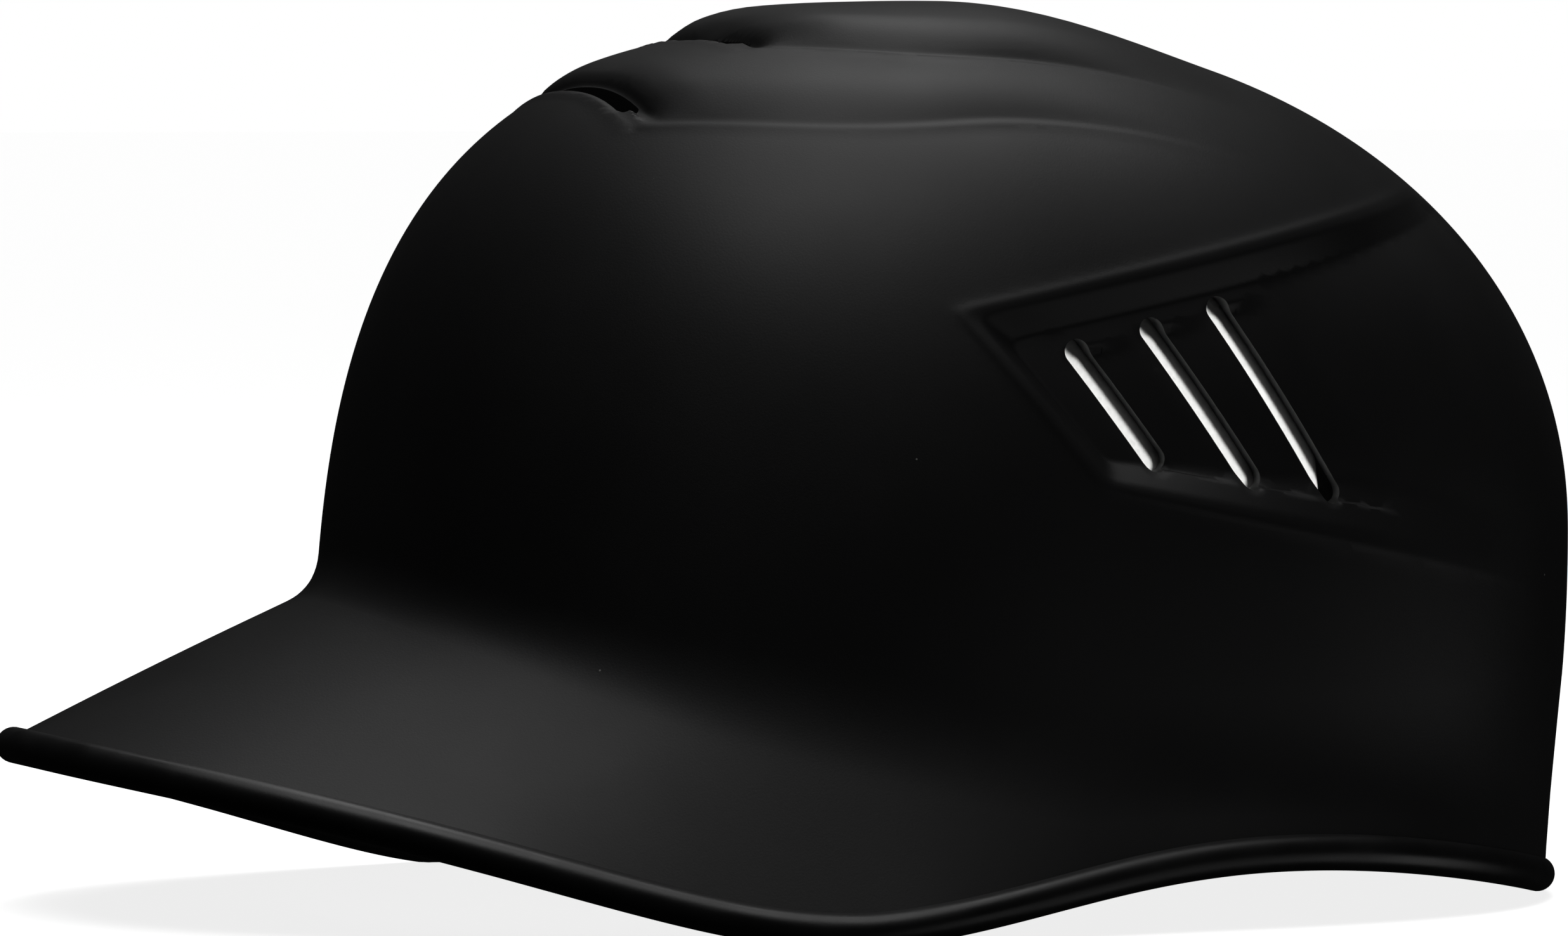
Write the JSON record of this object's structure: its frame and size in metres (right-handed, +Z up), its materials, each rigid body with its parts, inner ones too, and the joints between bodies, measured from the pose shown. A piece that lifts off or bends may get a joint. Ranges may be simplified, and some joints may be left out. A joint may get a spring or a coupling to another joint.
{
  "type": "batting helmet",
  "caption": "Black moulded cap-style batting helmet without ear flaps, with a bill, edge bead, crown scoops, slotted side panels and a padded foam liner.",
  "frame": {"origin": "on the standing surface under the middle of the overall box, on the left-right plane of symmetry", "axes": "-Y to the bill (the wearer faces -Y), +X to the wearer's left, +Z up through the crown"},
  "size_m": [0.2282, 0.302, 0.1697],
  "materials": {
    "shell_plastic": "matte, fine moulded grain",
    "bead_rubber": "satin",
    "impact_foam": "closed-cell foam, light grey",
    "comfort_cloth": "brushed knit, dark grey"
  },
  "bodies": {
    "root": {"outer_shell": "shell_plastic", "edge_trim": "bead_rubber", "brow_impact_pad": "impact_foam", "brow_comfort_pad": "comfort_cloth", "nape_impact_pad": "impact_foam", "nape_comfort_pad": "comfort_cloth", "crown_impact_pad": "impact_foam", "crown_comfort_pad": "comfort_cloth", "left_temple_impact_pad": "impact_foam", "left_temple_comfort_pad": "comfort_cloth", "right_temple_impact_pad": "impact_foam", "right_temple_comfort_pad": "comfort_cloth", "left_side_impact_pad": "impact_foam", "left_side_comfort_pad": "comfort_cloth", "right_side_impact_pad": "impact_foam", "right_side_comfort_pad": "comfort_cloth", "left_rear_impact_pad": "impact_foam", "left_rear_comfort_pad": "comfort_cloth", "right_rear_impact_pad": "impact_foam", "right_rear_comfort_pad": "comfort_cloth", "left_upper_impact_pad": "impact_foam", "left_upper_comfort_pad": "comfort_cloth", "right_upper_impact_pad": "impact_foam", "right_upper_comfort_pad": "comfort_cloth"}
  },
  "joints": []
}
